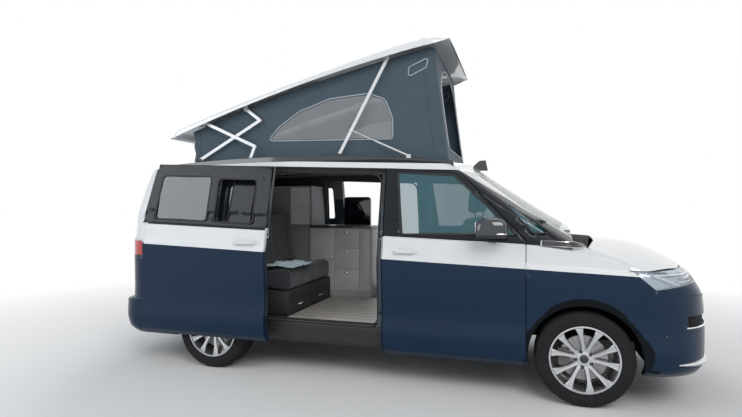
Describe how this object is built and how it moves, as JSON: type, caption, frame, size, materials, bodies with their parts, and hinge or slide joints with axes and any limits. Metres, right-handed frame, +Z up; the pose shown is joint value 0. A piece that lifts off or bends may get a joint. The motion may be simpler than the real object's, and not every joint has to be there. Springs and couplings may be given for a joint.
{
  "type": "camper van",
  "caption": "Compact camper van with sliding side doors open, two-tone body and a raised pop-up roof with a canvas tent.",
  "frame": {"origin": "on the ground under the middle of the van's overall box", "axes": "+X towards the front, +Y towards the van's left, +Z up"},
  "size_m": [5.173, 2.244, 2.8897],
  "materials": {
    "paint_white": "gloss",
    "paint_blue": "gloss metallic",
    "black_plastic": "grained",
    "gloss_black": "gloss",
    "glass": "tinted",
    "lamp_clear": "clear",
    "lamp_red": "gloss",
    "tyre": "matt",
    "alloy": "machined",
    "cast": "matt",
    "steel_black": "satin",
    "seat_fabric": "woven",
    "furniture": "satin",
    "canvas": "woven",
    "arm_grey": "anodised",
    "chrome": "bright"
  },
  "bodies": {
    "root": {"body_side_left": "paint_white", "body_side_right": "paint_white", "floor_pan": "steel_black", "front_structure": "steel_black", "wheelhouses": "black_plastic", "front_fenders": "paint_blue", "windscreen": "glass", "side_windows": "glass", "tail_lamps": "lamp_red", "headlamps": "lamp_clear", "roof_panel": "paint_white", "front_bumper": "paint_blue", "sliding_door_left": "paint_blue", "sliding_door_right": "paint_blue", "rear_bumper": "paint_blue", "front_suspension": "steel_black", "engine": "cast", "rear_axle": "steel_black", "underfloor": "steel_black", "dashboard": "black_plastic", "front_seats": "seat_fabric", "seat_bases": "black_plastic", "rear_bench": "seat_fabric", "kitchen": "furniture", "tent": "canvas", "roof_trim": "gloss_black", "wipers": "black_plastic", "grille": "gloss_black"},
    "knuckle_left": {"knuckle_left": "cast"},
    "knuckle_right": {"knuckle_right": "cast"},
    "steering_wheel": {"steering_wheel": "black_plastic"},
    "door_left": {"front_door_left": "paint_blue", "front_window_left": "glass", "mirror_left": "gloss_black"},
    "door_right": {"front_door_right": "paint_blue", "front_window_right": "glass", "mirror_right": "gloss_black"},
    "tailgate": {"tailgate": "paint_blue", "tailgate_window": "glass"},
    "bonnet": {"bonnet": "paint_white"},
    "pop_roof": {"roof_shell": "paint_white"},
    "bars_a": {"bars_a": "arm_grey"},
    "links_a": {"links_a": "arm_grey"},
    "bars_b": {"bars_b": "arm_grey"},
    "links_b": {"links_b": "arm_grey"},
    "roof_struts": {"roof_struts": "arm_grey"},
    "gas_tubes": {"gas_tubes": "steel_black"},
    "gas_rods": {"gas_rods": "chrome"},
    "wheel_front_left": {"tyre_front_left": "tyre", "rim_front_left": "alloy"},
    "wheel_front_right": {"tyre_front_right": "tyre", "rim_front_right": "alloy"},
    "wheel_rear_left": {"tyre_rear_left": "tyre", "rim_rear_left": "alloy"},
    "wheel_rear_right": {"tyre_rear_right": "tyre", "rim_rear_right": "alloy"}
  },
  "joints": [
    {"name": "steer_left", "type": "hinge", "parent": "root", "child": "knuckle_left", "pos_m": [1.6655, 0.79, 0.346], "axis": [0, 0, 1], "range_deg": [-35, 35]},
    {"name": "spin_front_left", "type": "hinge", "parent": "knuckle_left", "child": "wheel_front_left", "pos_m": [1.6655, 0.82, 0.346], "axis": [0, 1, 0], "continuous": true},
    {"name": "spin_rear_left", "type": "hinge", "parent": "root", "child": "wheel_rear_left", "pos_m": [-1.4585, 0.82, 0.346], "axis": [0, 1, 0], "continuous": true},
    {"name": "steer_right", "type": "hinge", "parent": "root", "child": "knuckle_right", "pos_m": [1.6655, -0.79, 0.346], "axis": [0, 0, 1], "range_deg": [-35, 35]},
    {"name": "spin_front_right", "type": "hinge", "parent": "knuckle_right", "child": "wheel_front_right", "pos_m": [1.6655, -0.82, 0.346], "axis": [0, 1, 0], "continuous": true},
    {"name": "spin_rear_right", "type": "hinge", "parent": "root", "child": "wheel_rear_right", "pos_m": [-1.4585, -0.82, 0.346], "axis": [0, 1, 0], "continuous": true},
    {"name": "steering_wheel_turn", "type": "hinge", "parent": "root", "child": "steering_wheel", "pos_m": [1.085, 0.4, 0.985], "axis": [-0.9063, 0, 0.4226], "range_deg": [-500, 500]},
    {"name": "door_left_hinge", "type": "hinge", "parent": "root", "child": "door_left", "pos_m": [1.262, 0.9675, 0.99], "axis": [0, 0, -1], "range_deg": [0, 68]},
    {"name": "door_right_hinge", "type": "hinge", "parent": "root", "child": "door_right", "pos_m": [1.262, -0.9675, 0.99], "axis": [0, 0, 1], "range_deg": [0, 68]},
    {"name": "tailgate_hinge", "type": "hinge", "parent": "root", "child": "tailgate", "pos_m": [-2.262, 0, 1.868], "axis": [0, 1, 0], "range_deg": [0, 85]},
    {"name": "bonnet_hinge", "type": "hinge", "parent": "root", "child": "bonnet", "pos_m": [1.776, 0, 1.206], "axis": [0, -1, 0], "range_deg": [0, 50]},
    {"name": "roof_lift", "type": "hinge", "parent": "root", "child": "pop_roof", "pos_m": [-2.9896, 0, 2.056], "axis": [0, 1, 0], "range_deg": [0, 15.4], "deforming": ["tent"]},
    {"name": "bar_a_pivot", "type": "hinge", "parent": "root", "child": "bars_a", "pos_m": [-1.76, 0, 1.912], "axis": [0, 1, 0], "range_deg": [0, 28.18]},
    {"name": "link_b_pivot", "type": "hinge", "parent": "root", "child": "links_b", "pos_m": [-1.193, 0, 1.907], "axis": [0, 1, 0], "range_deg": [0, 66.97]},
    {"name": "bar_b_pivot", "type": "hinge", "parent": "pop_roof", "child": "bars_b", "pos_m": [-1.67974, 0, 2.26225], "axis": [0, 1, 0], "range_deg": [-39.86, 0]},
    {"name": "link_a_pivot", "type": "hinge", "parent": "pop_roof", "child": "links_a", "pos_m": [-1.26757, 0, 2.38511], "axis": [0, 1, 0], "range_deg": [-52.48, 0]},
    {"name": "strut_pivot", "type": "hinge", "parent": "root", "child": "roof_struts", "pos_m": [-0.32, 0, 1.917], "axis": [0, 1, 0], "range_deg": [0, 66.94]},
    {"name": "gas_pivot", "type": "hinge", "parent": "root", "child": "gas_tubes", "pos_m": [0.319, 0, 1.889], "axis": [0, 1, 0], "range_deg": [-24.21, 0]},
    {"name": "gas_slide", "type": "slide", "parent": "gas_tubes", "child": "gas_rods", "axis": [-0.9071, 0, 0.4208], "range_m": [-0.1809, 0]}
  ],
  "couplings": [
    {"joint": "steer_right", "follows": "steer_left", "ratio": 1},
    {"joint": "steering_wheel_turn", "follows": "steer_left", "ratio": 14},
    {"joint": "bar_a_pivot", "follows": "roof_lift", "ratio": 1.8264},
    {"joint": "link_b_pivot", "follows": "roof_lift", "ratio": 4.3452},
    {"joint": "bar_b_pivot", "follows": "roof_lift", "ratio": -2.5852},
    {"joint": "link_a_pivot", "follows": "roof_lift", "ratio": -3.4043},
    {"joint": "strut_pivot", "follows": "roof_lift", "ratio": 4.3436},
    {"joint": "gas_pivot", "follows": "roof_lift", "ratio": -1.5687},
    {"joint": "gas_slide", "follows": "roof_lift", "m_per_rad": -0.6694}
  ]
}
